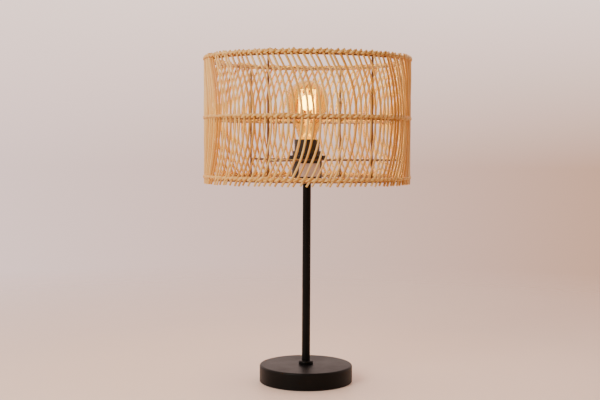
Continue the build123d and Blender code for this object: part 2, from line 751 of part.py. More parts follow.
with BuildPart() as filament_supports:
    for support_z in (filament_bottom - support_radius, filament_top + support_radius):
        with Locations((0, 0, support_z)):
            with PolarLocations(post_radius, filament_count):
                Cylinder(
                    support_radius,
                    filament_circle_radius - post_radius + filament_radius,
                    rotation=(0, 90, 0),
                    align=(Align.CENTER, Align.CENTER, Align.MIN),
                )
filament_supports.part.label = "filament_supports"
export_step(filament_supports.part, "parts/filament_supports.step")

with BuildPart() as bulb_filaments:
    with BuildSketch(Plane.XY.offset(filament_bottom)):
        with PolarLocations(filament_circle_radius, filament_count):
            Circle(filament_radius)
    extrude(amount=filament_length)
bulb_filaments.part.label = "bulb_filaments"
export_step(bulb_filaments.part, "parts/bulb_filaments.step")

# ---------------------------------------------------------------- shade frame

with BuildPart() as spider_ring:
    with BuildSketch(Plane.XY.offset(spider_bottom)):
        Circle(spider_ring_radius)
        Circle(spider_bore_radius, mode=Mode.SUBTRACT)
    extrude(amount=spider_ring_thickness)
spider_ring.part.label = "spider_ring"
export_step(spider_ring.part, "parts/spider_ring.step")

with BuildPart() as spider_arms:
    with Locations((0, 0, spider_z)):
        with PolarLocations(spider_ring_radius, spider_arm_count, start_angle=front + spider_turn):
            Cylinder(
                spider_arm_radius,
                upright_circle - upright_radius - spider_ring_radius,
                rotation=(0, 90, 0),
                align=(Align.CENTER, Align.CENTER, Align.MIN),
            )
spider_arms.part.label = "spider_arms"
export_step(spider_arms.part, "parts/spider_arms.step")

with BuildPart() as shade_uprights:
    with BuildSketch(Plane.XY.offset(hoop_heights[0])):
        with PolarLocations(upright_circle, upright_count, start_angle=front + spider_turn):
            Circle(upright_radius)
    extrude(amount=hoop_heights[-1] - hoop_heights[0])
shade_uprights.part.label = "shade_uprights"
export_step(shade_uprights.part, "parts/shade_uprights.step")

hoop_names = ["hoop_bottom", "hoop_middle", "hoop_top"]
binding_names = ["binding_bottom", "binding_middle", "binding_top"]

for hoop_name, hoop_z in zip(hoop_names, hoop_heights):
    with BuildPart() as hoop:
        with BuildSketch(Plane.XZ):
            with Locations((hoop_circle, hoop_z)):
                Circle(hoop_wire_radius)
        revolve(axis=Axis.Z)
    hoop.part.label = hoop_name
    export_step(hoop.part, f"parts/{hoop_name}.step")

# ---------------------------------------------------------------- rattan rods and their bindings

# Seen from above, a rod runs straight from its upper and lower crossings to its middle one, so each
# rod is one flat arc: its ends stand over each other and its middle is moved along the hoops.
bow_angle = 2 * asin(rod_bow / 2 / rod_circle)
ends_x = -rod_circle * sin(bow_angle)
ends_y = -rod_circle * cos(bow_angle)
bow_x = -ends_x / rod_bow
bow_y = (-rod_circle - ends_y) / rod_bow
rod_arc_radius = (hoop_spacing ** 2 + rod_bow ** 2) / (2 * rod_bow)
rod_arc_half = degrees(asin((hoop_spacing + rod_overhang) / rod_arc_radius))
rod_plane = Plane(
    origin=(ends_x, ends_y, hoop_heights[1]),
    x_dir=(bow_x, bow_y, 0),
    z_dir=(bow_y, -bow_x, 0),
)

with BuildPart() as rod:
    with BuildLine(rod_plane) as rod_line:
        CenterArc((rod_bow - rod_arc_radius, 0), rod_arc_radius, -rod_arc_half, 2 * rod_arc_half)
    with BuildSketch(Plane(origin=rod_line.line @ 0, x_dir=rod_plane.z_dir, z_dir=rod_line.line % 0)):
        RegularPolygon(rod_radius, rod_sides, major_radius=False, rotation=180 / rod_sides)
    sweep()

for group in range(rod_groups):
    first_rod = round(rod_count * group / rod_groups)
    next_group = round(rod_count * (group + 1) / rod_groups)
    turns = [360 * place / rod_count for place in range(first_rod, next_group)]
    group_name = f"rattan_rods_{group + 1}"
    rattan_rods = Compound(children=[rod.part.rotate(Axis.Z, turn) for turn in turns])
    rattan_rods.label = group_name
    export_step(rattan_rods, f"parts/{group_name}.step")

for binding_name, hoop_z in zip(binding_names, hoop_heights):
    with BuildPart() as binding:
        with BuildSketch(Plane.XY.offset(hoop_z + binding_rise - binding_height / 2)):
            Circle(shade_diameter / 2)
            Circle(shade_diameter / 2 - binding_thickness, mode=Mode.SUBTRACT)
        extrude(amount=binding_height)
        fillet(binding.edges(), radius=binding_edge_radius)
    binding.part.label = binding_name
    export_step(binding.part, f"parts/{binding_name}.step")

print("rods", rod_count)
print("shade from", hoop_heights[0] - rod_overhang, "to", hoop_heights[-1] + rod_overhang)
print("bulb top", globe_z + glass_radius)
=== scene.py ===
"""Finishes, rods, bindings, bulb and stage of a rattan table lamp.

It is laid out as an add-on and run as a script. Sizes are in metres unless a comment says otherwise.
"""

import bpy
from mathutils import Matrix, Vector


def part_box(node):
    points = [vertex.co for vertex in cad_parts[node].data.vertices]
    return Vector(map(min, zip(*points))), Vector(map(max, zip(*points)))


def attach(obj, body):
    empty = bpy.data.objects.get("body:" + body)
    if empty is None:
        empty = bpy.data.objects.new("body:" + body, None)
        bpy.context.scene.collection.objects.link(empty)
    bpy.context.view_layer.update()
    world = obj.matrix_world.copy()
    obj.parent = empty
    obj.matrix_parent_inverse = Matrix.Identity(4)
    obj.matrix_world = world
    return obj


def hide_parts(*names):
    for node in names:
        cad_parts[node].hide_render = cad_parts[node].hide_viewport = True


bl_info = {
    "name": "Rattan Table Lamp",
    "version": (1, 0, 0),
    "blender": (4, 5, 0),
    "location": "3D View > Sidebar > Table Lamp",
    "description": "Builds the rods, bindings, bulb, finishes and stage of a rattan table lamp",
    "category": "Object",
}

from math import asin, cos, pi, radians, sin, tau

import bpy
from bpy.props import FloatProperty, FloatVectorProperty, IntProperty, PointerProperty
from mathutils import Matrix, Vector

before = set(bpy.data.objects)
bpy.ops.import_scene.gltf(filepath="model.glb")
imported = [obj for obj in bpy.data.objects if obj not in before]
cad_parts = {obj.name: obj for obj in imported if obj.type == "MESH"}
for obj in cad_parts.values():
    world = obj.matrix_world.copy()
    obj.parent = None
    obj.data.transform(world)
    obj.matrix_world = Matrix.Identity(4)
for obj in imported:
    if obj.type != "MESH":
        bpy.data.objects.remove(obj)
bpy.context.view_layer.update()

ROD_NODES = [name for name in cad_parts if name.startswith("rattan_rods_")]
RINGS = ("bottom", "middle", "top")

# Colours of the plain finishes
ZINC = (0.62, 0.62, 0.60, 1.0)
RAW_IRON = (0.16, 0.155, 0.15, 1.0)
BRASS = (0.78, 0.56, 0.24, 1.0)
SOLDER = (0.6, 0.6, 0.58, 1.0)
SUPPORT_WIRE = (0.55, 0.52, 0.47, 1.0)
NICKEL_BRASS = (0.72, 0.64, 0.45, 1.0)
BLACK_PLASTIC = (0.018, 0.018, 0.018, 1.0)
HOLDER_PLASTIC = (0.011, 0.0105, 0.010, 1.0)
TERMINAL_PLASTIC = (0.78, 0.77, 0.72, 1.0)
BROWN_SLEEVE = (0.22, 0.09, 0.04, 1.0)
BLUE_SLEEVE = (0.04, 0.14, 0.46, 1.0)
GREEN_SLEEVE = (0.2, 0.42, 0.06, 1.0)
LABEL_FILM = (0.50, 0.40, 0.34, 1.0)
PORCELAIN = (0.84, 0.82, 0.77, 1.0)
RED_FIBRE = (0.16, 0.055, 0.03, 1.0)
BLACK_GLASS = (0.02, 0.02, 0.024, 1.0)
POTTING = (0.7, 0.69, 0.66, 1.0)
FELT_DARK = (0.012, 0.012, 0.013, 1.0)
FELT_LIGHT = (0.06, 0.06, 0.062, 1.0)
DUST = (0.03, 0.027, 0.025, 1.0)
WEATHERED_CANE = (0.20, 0.09, 0.03, 1.0)
BEAD = (1.0, 0.9, 0.62, 1.0)
STEM_GLASS = (0.96, 0.86, 0.62, 1.0)
# Painted glow of the glass stem, standing in for the light that the light sticks throw on it
STEM_PAINTED_GLOW = (1.0, 0.50, 0.06, 1.0)

# Stage
LAMP_MIDDLE = Vector((0.0, 0.0, 0.25))
KEY_PLACE, KEY_SIZE, KEY_COLOUR = (-1.25, -1.55, 1.35), 1.1, (1.0, 0.955, 0.90)
FILL_PLACE, FILL_SIZE, FILL_COLOUR = (1.7, -0.5, 0.9), 1.2, (1.0, 0.70, 0.42)
GLOW_RADIUS, GLOW_COLOUR = 0.012, (1.0, 0.71, 0.2)
SENSOR_WIDTH = 36.0    # mm

HOOP_CLEARANCE = 0.00005    # between a hoop and the rods outside it
ON_AXIS = 1e-7    # a smaller radius is a point on the axis
CANE_SIDES = 10


# ---------------------------------------------------------------- places read from the frame

def node_radius(name):
    """Outer radius of a round node about the lamp's axis."""
    low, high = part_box(name)
    return (high[0] - low[0]) / 2


def node_middle(name):
    """Height of a node's middle."""
    low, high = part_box(name)
    return (low[2] + high[2]) / 2


def rods_span():
    """Lowest and highest point of all the rods."""
    boxes = [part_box(name) for name in ROD_NODES]
    return min(low[2] for low, high in boxes), max(high[2] for low, high in boxes)


# ---------------------------------------------------------------- settings

def length_setting(name, description, default):
    """A size in metres."""
    return FloatProperty(name=name, description=description, default=default, unit="LENGTH")


def power_setting(name, description, default):
    """A light's power in watts."""
    return FloatProperty(name=name, description=description, default=default, unit="POWER")


def angle_setting(name, description, degrees):
    """An angle, given here in degrees."""
    return FloatProperty(name=name, description=description, default=radians(degrees), subtype="ANGLE")


def share_setting(name, description, default):
    """A number between 0 and 1."""
    return FloatProperty(
        name=name, description=description, default=default, subtype="FACTOR", min=0, max=1)


def colour_setting(name, description, red, green, blue):
    """The colour of a finish."""
    return FloatVectorProperty(
        name=name, description=description, subtype="COLOR", size=4, default=(red, green, blue, 1.0))


def air_setting(name, description, red, green, blue):
    """A colour of the surroundings, which may be brighter than white."""
    return FloatVectorProperty(
        name=name, description=description, subtype="COLOR", size=3, min=0, soft_max=2,
        default=(red, green, blue))


class RattanSettings(bpy.types.PropertyGroup):
    """The shade's rods and the strands that tie them."""
    rod_count: IntProperty(name="Rods", description="Rods round the shade", default=113, min=12)
    rod_radius: length_setting("Rod radius", "Mean radius of a rod", 0.00162)
    rod_bow: length_setting("Rod bow", "Sideways rise of a rod between the outer hoops", 0.0225)
    rod_scatter: length_setting("Rod scatter", "How far a rod stands off its even place", 0.0008)
    tip_scatter: length_setting("Tip scatter", "How much shorter a rod's end may be cut", 0.0013)
    strand_width: length_setting("Strand width", "Height of a binding strand", 0.0033)
    strand_thickness: length_setting("Strand thickness", "Thickness of a binding strand", 0.00175)
    seed: IntProperty(name="Seed", description="Seed for everything uneven in the cane", default=7)
    light_cane: colour_setting("Light cane", "Colour of the palest cane", 0.95, 0.60, 0.165)
    dark_cane: colour_setting("Dark cane", "Colour of the darkest cane", 0.72, 0.32, 0.035)
    strand_cane: colour_setting("Strand cane", "Colour of the binding strands", 0.95, 0.62, 0.19)


class MetalSettings(bpy.types.PropertyGroup):
    """Powder-coated and painted metal."""
    coat_colour: colour_setting("Powder coat", "Colour of the foot and pole", 0.0034, 0.0029, 0.0025)
    coat_roughness: share_setting("Coat roughness", "Roughness of the powder coat", 0.44)
    coat_grain: length_setting("Coat grain", "Size of the powder coat's orange peel", 0.0006)
    wire_colour: colour_setting("Wire paint", "Colour of the hoops and uprights", 0.24, 0.125, 0.052)


class BulbSettings(bpy.types.PropertyGroup):
    """The bulb's glass and light."""
    glass_radius: length_setting("Globe radius", "Radius of the bulb's globe", 0.031)
    glass_wall: length_setting("Glass wall", "Thickness of the glass", 0.0009)
    glass_colour: colour_setting("Glass", "Tint of the amber glass", 0.965, 0.755, 0.24)
    light_colour: colour_setting("Light", "Colour between the beads of the light sticks", 1.0, 0.52, 0.09)
    stick_strength: FloatProperty(
        name="Stick strength", description="Brightness of the light sticks", default=3.0, min=0)
    glow_power: power_setting("Glow", "Power of the light that the bulb throws", 1.5)
    screw_pitch: length_setting("Screw pitch", "Pitch of the bulb's thread", 0.003629)


class StageSettings(bpy.types.PropertyGroup):
    """Floor, light and camera."""
    floor_radius: length_setting("Floor radius", "Radius of the round floor", 1.6)
    floor_colour: colour_setting("Floor", "Colour of the floor", 0.88, 0.69, 0.56)
    left_colour: air_setting("Left", "Surroundings at the left", 1.42, 1.02, 0.95)
    right_colour: air_setting("Right", "Surroundings at the right", 0.92, 0.53, 0.37)
    high_colour: air_setting("High", "Surroundings above the shade", 1.85, 1.38, 1.24)
    dim_front: share_setting("Dim front", "Light from the front, as a share of that from behind", 0.12)
    key_power: power_setting("Key light", "Power of the soft light at the front left", 47.0)
    fill_power: power_setting("Fill light", "Power of the soft light at the right", 2.5)
    camera_distance: length_setting("Camera distance", "Camera in front of the lamp's axis", 1.505)
    camera_height: length_setting("Camera height", "Camera above the floor", 0.3427)
    camera_side: length_setting("Camera side", "Camera to the right of the axis", -0.0098)
    camera_tilt: angle_setting("Camera tilt", "How far the camera looks down", 2.97)
    camera_roll: angle_setting("Camera roll", "How far the camera leans", 0.3)
    camera_lens: FloatProperty(name="Lens", description="Focal length on a 36 mm sensor, in mm", default=62.4)


# ---------------------------------------------------------------- node trees

class Graph:
    """A short way to write a shader or geometry node tree."""

    def __init__(self, tree):
        self.tree = tree

    def add(self, kind, inputs=None, **settings):
        """Adds a node, sets it up and feeds its inputs, given by name or number."""
        node = self.tree.nodes.new(kind)
        for key, value in settings.items():
            setattr(node, key, value)
        for key, value in (inputs or {}).items():
            self.feed(node.inputs[key], value)
        return node

    def feed(self, socket, value):
        """Links a socket to an output, or sets it to a value."""
        if isinstance(value, bpy.types.NodeSocket):
            self.tree.links.new(value, socket)
        else:
            socket.default_value = value

    def math(self, operation, *values):
        """One math node's result."""
        return self.add("ShaderNodeMath", dict(enumerate(values)), operation=operation).outputs[0]

    def vector(self, x, y, z):
        """Three numbers as a vector."""
        return self.add("ShaderNodeCombineXYZ", {"X": x, "Y": y, "Z": z}).outputs[0]

    def scaled(self, vector, factors):
        """A vector times another, part by part."""
        return self.add("ShaderNodeVectorMath", {0: vector, 1: factors}, operation="MULTIPLY").outputs[0]

    def noise(self, vector, scale, detail=3.0, roughness=0.5):
        """Noise between 0 and 1."""
        inputs = {"Vector": vector, "Scale": scale, "Detail": detail, "Roughness": roughness}
        return self.add("ShaderNodeTexNoise", inputs).outputs["Fac"]

    def spread(self, value, low, high, new_low=0.0, new_high=1.0):
        """A value moved from one range to another and held in it."""
        inputs = {"Value": value, "From Min": low, "From Max": high, "To Min": new_low, "To Max": new_high}
        return self.add("ShaderNodeMapRange", inputs).outputs["Result"]

    def blend(self, factor, first, second):
        """Two colours mixed."""
        node = self.add("ShaderNodeMix", data_type="RGBA")
        for index, value in ((0, factor), (6, first), (7, second)):
            self.feed(node.inputs[index], value)
        return node.outputs[2]

    def bump(self, height, distance, strength=1.0):
        """A normal bent by a height."""
        inputs = {"Height": height, "Distance": distance, "Strength": strength}
        return self.add("ShaderNodeBump", inputs).outputs[0]


def new_material(name, **sockets):
    """A material with one principled shader whose plain sockets are set, its graph and that shader."""
    material = bpy.data.materials.new(name)
    material.use_nodes = True
    material.node_tree.nodes.clear()
    graph = Graph(material.node_tree)
    shader = graph.add("ShaderNodeBsdfPrincipled")
    output = graph.add("ShaderNodeOutputMaterial")
    graph.tree.links.new(shader.outputs[0], output.inputs["Surface"])
    for key, value in sockets.items():
        shader.inputs[key.replace("_", " ")].default_value = value
    return material, graph, shader


def object_place(graph):
    """Object coordinates, in metres."""
    return graph.add("ShaderNodeTexCoord").outputs["Object"]


def cane_material(name, light, dark, gloss):
    """Peeled rattan: fibres along the strand, pale and dark stretches, a thin lacquer.

    It reads the attributes fibre and tone, which the cane's geometry trees store.
    """
    material, graph, shader = new_material(name, IOR=1.5, Coat_Weight=gloss, Coat_Roughness=0.22)
    fibre = graph.add("ShaderNodeAttribute", attribute_name="fibre").outputs["Vector"]
    fine_scale, streak_scale = (2600.0, 2600.0, 70.0), (700.0, 700.0, 16.0)
    patch_scale, fleck_scale = (40.0, 40.0, 14.0), (900.0, 900.0, 260.0)
    streak_share, patch_share, rod_share = 0.55, 0.45, 0.55
    fibre_depth = 0.00022
    fine = graph.noise(graph.scaled(fibre, fine_scale), 1.0, 3.0, 0.6)
    long_streaks = graph.noise(graph.scaled(fibre, streak_scale), 1.0, 2.0)
    patches = graph.noise(graph.scaled(fibre, patch_scale), 1.0, 2.0)
    each_rod = graph.add("ShaderNodeAttribute", attribute_name="tone").outputs["Fac"]
    fleck = graph.noise(graph.scaled(fibre, fleck_scale), 1.0, 4.0, 0.7)
    streaked = graph.math("MULTIPLY", long_streaks, streak_share)
    mix = graph.math("ADD", streaked, graph.math("MULTIPLY", patches, patch_share))
    off_mean = graph.math("SUBTRACT", each_rod, 0.5)
    mix = graph.math("ADD", mix, graph.math("MULTIPLY", off_mean, rod_share))
    colour = graph.blend(graph.spread(mix, 0.32, 0.72), light, dark)
    deep = graph.blend(0.55, dark, WEATHERED_CANE)
    colour = graph.blend(graph.spread(fleck, 0.60, 0.74, 0.0, 0.8), colour, deep)
    colour = graph.blend(graph.spread(fine, 0.42, 0.68, 0.0, 0.42), colour, deep)
    graph.feed(shader.inputs["Base Color"], colour)
    graph.feed(shader.inputs["Roughness"], graph.spread(fine, 0.3, 0.8, 0.34, 0.56))
    graph.feed(shader.inputs["Normal"], graph.bump(fine, fibre_depth, 0.85))
    return material


def powder_coat_material(name, colour, roughness, grain):
    """Satin powder coat: fine orange peel, faint dust and slightly paler clouds."""
    material, graph, shader = new_material(name, IOR=1.5, Specular_IOR_Level=0.10)
    place = object_place(graph)
    cloud_scale, speck_scale, peel_depth = 22.0, 900.0, 0.00007
    peel = graph.noise(place, 1.0 / grain, 2.0, 0.55)
    cloud = graph.noise(place, cloud_scale, 3.0)
    speck = graph.noise(place, speck_scale, 1.0)
    tone = graph.blend(graph.spread(cloud, 0.35, 0.72), colour, dimmed(colour, 1.8))
    tone = graph.blend(graph.spread(speck, 0.73, 0.80, 0.0, 0.35), tone, DUST)
    graph.feed(shader.inputs["Base Color"], tone)
    gloss = graph.spread(cloud, 0.3, 0.75, roughness - 0.05, roughness + 0.07)
    graph.feed(shader.inputs["Roughness"], gloss)
    graph.feed(shader.inputs["Normal"], graph.bump(peel, peel_depth, 0.6))
    return material


def wire_paint_material(name, colour, roughness=0.38):
    """Dip-painted wire: uneven film, small runs and thin places."""
    material, graph, shader = new_material(name, IOR=1.5)
    place = object_place(graph)
    film_scale, run_scale, run_depth = 60.0, (420.0, 420.0, 120.0), 0.0001
    film = graph.noise(place, film_scale, 3.0)
    runs = graph.noise(graph.scaled(place, run_scale), 1.0, 2.0)
    tone = graph.blend(graph.spread(film, 0.35, 0.7), colour, dimmed(colour, 0.45))
    gloss = graph.spread(runs, 0.3, 0.7, roughness - 0.08, roughness + 0.14)
    graph.feed(shader.inputs["Base Color"], tone)
    graph.feed(shader.inputs["Roughness"], gloss)
    graph.feed(shader.inputs["Normal"], graph.bump(runs, run_depth, 0.5))
    return material


def moulded_material(name, colour, roughness, grain_scale=1500.0, contrast=1.5):
    """Moulded plastic, film or rubber with a fine spark-eroded grain."""
    material, graph, shader = new_material(name, IOR=1.46)
    place = object_place(graph)
    flow_scale, grain_depth = 45.0, 0.00005
    grain = graph.noise(place, grain_scale, 2.0, 0.6)
    flow = graph.noise(place, flow_scale, 2.0)
    lighter = tuple(min(1.0, part * contrast + 0.004) for part in colour[:3]) + (1.0,)
    graph.feed(shader.inputs["Base Color"], graph.blend(graph.spread(flow, 0.35, 0.7), colour, lighter))
    gloss = graph.spread(flow, 0.3, 0.75, roughness - 0.06, roughness + 0.08)
    graph.feed(shader.inputs["Roughness"], gloss)
    graph.feed(shader.inputs["Normal"], graph.bump(grain, grain_depth, 0.5))
    return material


def metal_material(name, colour, roughness, brushed=(300.0, 300.0, 40.0)):
    """Bare or plated metal with fine drawn lines and a faint tarnish."""
    material, graph, shader = new_material(name, Metallic=1.0)
    place = object_place(graph)
    tarnish_scale, line_depth = 70.0, 0.00004
    lines = graph.noise(graph.scaled(place, brushed), 4.0, 3.0, 0.6)
    tarnish = graph.noise(place, tarnish_scale, 3.0)
    tone = graph.blend(graph.spread(tarnish, 0.4, 0.8), colour, dimmed(colour, 0.6))
    gloss = graph.spread(lines, 0.3, 0.7, roughness - 0.08, roughness + 0.12)
    graph.feed(shader.inputs["Base Color"], tone)
    graph.feed(shader.inputs["Roughness"], gloss)
    graph.feed(shader.inputs["Normal"], graph.bump(lines, line_depth, 0.4))
    return material


def felt_material(name):
    """Black needle felt: matted fibres with a soft sheen."""
    material, graph, shader = new_material(name, Roughness=0.95, Sheen_Weight=0.4, Sheen_Roughness=0.6)
    place = object_place(graph)
    fluff_scale, fluff_depth = 1400.0, 0.0004
    fluff = graph.noise(place, fluff_scale, 5.0, 0.75)
    colour = graph.blend(graph.spread(fluff, 0.3, 0.75), FELT_DARK, FELT_LIGHT)
    graph.feed(shader.inputs["Base Color"], colour)
    graph.feed(shader.inputs["Normal"], graph.bump(fluff, fluff_depth, 0.9))
    return material


def glass_material(name, colour, roughness, ripple):
    """Blown glass, tinted right through, with a faint ripple."""
    material, graph, shader = new_material(name, Transmission_Weight=1.0, IOR=1.45, Roughness=roughness)
    place = object_place(graph)
    wave_scale = 55.0
    wave = graph.noise(place, wave_scale, 1.0)
    tint = graph.blend(graph.spread(wave, 0.35, 0.7), colour, dimmed(colour, 0.94))
    graph.feed(shader.inputs["Base Color"], tint)
    graph.feed(shader.inputs["Normal"], graph.bump(wave, ripple, 0.5))
    return material


def light_stick_material(name, colour, strength):
    """Phosphor-coated light stick: beads of warm light along it."""
    material, graph, shader = new_material(name, Roughness=0.6)
    place = object_place(graph)
    bead_scale = (10.0, 10.0, 900.0)
    beads = graph.noise(graph.scaled(place, bead_scale), 1.0, 1.0)
    warm = graph.blend(graph.spread(beads, 0.44, 0.54), colour, BEAD)
    graph.feed(shader.inputs["Base Color"], warm)
    graph.feed(shader.inputs["Emission Color"], warm)
    shader.inputs["Emission Strength"].default_value = strength
    return material


def dimmed(colour, share):
    """A colour made darker or brighter, with full cover."""
    return (*(part * share for part in colour[:3]), 1.0)


def paint_nodes(material, *names):
    """Gives CAD nodes a finish."""
    for name in names:
        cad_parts[name].material_slots[0].material = material


# ---------------------------------------------------------------- meshes

def new_piece(name, mesh, material=None):
    """A piece at the origin, with its place in its mesh."""
    piece = bpy.data.objects.new(name, mesh)
    bpy.context.scene.collection.objects.link(piece)
    if material:
        mesh.materials.clear()
        mesh.materials.append(material)
    return piece


def lathe(name, outline, sides, material, closed=False):
    """A turned piece. The outline is a list of (radius, height); an end on the axis becomes a pole."""
    vertices, faces, rings = [], [], []
    for radius, height in outline:
        if radius < ON_AXIS:
            rings.append([len(vertices)])
            vertices.append((0.0, 0.0, height))
        else:
            rings.append(list(range(len(vertices), len(vertices) + sides)))
            turns = [tau * k / sides for k in range(sides)]
            vertices.extend((radius * cos(turn), radius * sin(turn), height) for turn in turns)
    pairs = list(zip(rings, rings[1:])) + ([(rings[-1], rings[0])] if closed else [])
    for lower, upper in pairs:
        for k in range(sides):
            a, b = lower[k % len(lower)], lower[(k + 1) % len(lower)]
            c, d = upper[(k + 1) % len(upper)], upper[k % len(upper)]
            corners = list(dict.fromkeys((a, b, c, d)))
            if len(corners) > 2:
                faces.append(corners)
    mesh = bpy.data.meshes.new(name)
    mesh.from_pydata(vertices, [], faces)
    mesh.shade_smooth()
    mesh.set_sharp_from_angle(angle=radians(40))
    return new_piece(name, mesh, material)


def arc_points(centre_r, centre_z, radius, start, end, steps):
    """Points of an arc in a turned piece's outline; angles in degrees from straight out."""
    angles = [radians(start + (end - start) * k / steps) for k in range(steps + 1)]
    return [(centre_r + radius * cos(angle), centre_z + radius * sin(angle)) for angle in angles]


def hermite(start, start_way, end, end_way, steps):
    """Points of a smooth curve between two points with given directions, without the first."""
    points = []
    for k in range(1, steps + 1):
        t = k / steps
        a, b = 2 * t ** 3 - 3 * t ** 2 + 1, t ** 3 - 2 * t ** 2 + t
        c, d = 3 * t ** 2 - 2 * t ** 3, t ** 3 - t ** 2
        points.append(tuple(a * start[i] + b * start_way[i] + c * end[i] + d * end_way[i] for i in (0, 1)))
    return points


# ---------------------------------------------------------------- geometry nodes

def new_geometry_tree(name, sizes):
    """A geometry tree with named number inputs. Returns its graph, its inputs by name and its output node."""
    tree = bpy.data.node_groups.new(name, "GeometryNodeTree")
    tree.interface.new_socket("Geometry", in_out="OUTPUT", socket_type="NodeSocketGeometry")
    for label in sizes:
        kind = "NodeSocketInt" if isinstance(sizes[label], int) else "NodeSocketFloat"
        tree.interface.new_socket(label, in_out="INPUT", socket_type=kind)
    tree.interface.new_socket("Material", in_out="INPUT", socket_type="NodeSocketMaterial")
    graph = Graph(tree)
    given = graph.add("NodeGroupInput").outputs
    return graph, given, graph.add("NodeGroupOutput")


def close_tree(graph, given, output, geometry):
    """Ends a tree: smooth faces, real geometry, material."""
    smooth = graph.add("GeometryNodeSetShadeSmooth", {"Geometry": geometry}).outputs[0]
    real = graph.add("GeometryNodeRealizeInstances", {"Geometry": smooth}).outputs[0]
    painted = graph.add("GeometryNodeSetMaterial", {"Geometry": real, "Material": given["Material"]})
    graph.feed(output.inputs[0], painted.outputs[0])


def grow(name, graph, sizes, material):
    """Runs a geometry tree and returns its result as a plain piece."""
    piece = new_piece(name, bpy.data.meshes.new(name))
    modifier = piece.modifiers.new("Grow", "NODES")
    modifier.node_group = graph.tree
    items = graph.tree.interface.items_tree
    sockets = {item.name: item.identifier for item in items if item.in_out == "INPUT"}
    for label, value in sizes.items():
        modifier[sockets[label]] = value
    modifier[sockets["Material"]] = material
    evaluated = piece.evaluated_get(bpy.context.evaluated_depsgraph_get())
    grown = bpy.data.meshes.new_from_object(evaluated)
    if not grown.polygons:
        raise RuntimeError(name + " came out empty")
    piece.modifiers.remove(modifier)
    piece.data = grown
    return piece


def random_number(graph, low, high, number, seed):
    """A number for each item, the same every time."""
    node = graph.add("FunctionNodeRandomValue", {2: low, 3: high, 7: number, 8: seed}, data_type="FLOAT")
    return node.outputs[1]


def store(graph, geometry, name, value, kind="FLOAT"):
    """Keeps a value on the points under a name."""
    node = graph.add("GeometryNodeStoreNamedAttribute", data_type=kind, domain="POINT")
    graph.feed(node.inputs["Geometry"], geometry)
    graph.feed(node.inputs["Name"], name)
    graph.feed(node.inputs["Value"], value)
    return node.outputs[0]


def recall(graph, name, kind="FLOAT"):
    """A value kept by store."""
    return graph.add("GeometryNodeInputNamedAttribute", {"Name": name}, data_type=kind).outputs[0]


def long_curves(graph, points, count):
    """Straight curves with evenly spaced points, and each curve's number."""
    line = graph.add("GeometryNodeCurvePrimitiveLine", {"End": (0.0, 0.0, 1.0)}).outputs[0]
    line = graph.add("GeometryNodeResampleCurve", {"Curve": line, "Count": points}).outputs[0]
    copies = graph.add("GeometryNodeDuplicateElements", {"Geometry": line, "Amount": count}, domain="SPLINE")
    return copies.outputs[0], copies.outputs[1]


def skin_curves(graph, curves, sides, half_width, half_height, swell):
    """Gives curves a round or oval body that carries the fibre attribute: across, across, along."""
    profile = graph.add("GeometryNodeCurvePrimitiveCircle", {"Resolution": sides, "Radius": 1.0}).outputs[0]
    place = graph.add("GeometryNodeInputPosition").outputs[0]
    shape = graph.scaled(place, graph.vector(half_width, half_height, 1.0))
    profile = store(graph, profile, "across", shape, "FLOAT_VECTOR")
    profile = graph.add("GeometryNodeSetPosition", {"Geometry": profile, "Position": shape}).outputs[0]
    inputs = {"Curve": curves, "Profile Curve": profile, "Scale": swell, "Fill Caps": True}
    body = graph.add("GeometryNodeCurveToMesh", inputs).outputs[0]
    far_apart = 37.0
    offset = graph.math("MULTIPLY", recall(graph, "tone"), far_apart)
    along = graph.vector(offset, 0.0, graph.math("ADD", recall(graph, "along"), offset))
    across = recall(graph, "across", "FLOAT_VECTOR")
    fibre = graph.add("ShaderNodeVectorMath", {0: across, 1: along}, operation="ADD")
    return store(graph, body, "fibre", fibre.outputs[0], "FLOAT_VECTOR")


def polar(graph, radius, angle, height):
    """A place round the lamp's axis."""
    x = graph.math("MULTIPLY", radius, graph.math("COSINE", angle))
    y = graph.math("MULTIPLY", radius, graph.math("SINE", angle))
    return graph.vector(x, y, height)


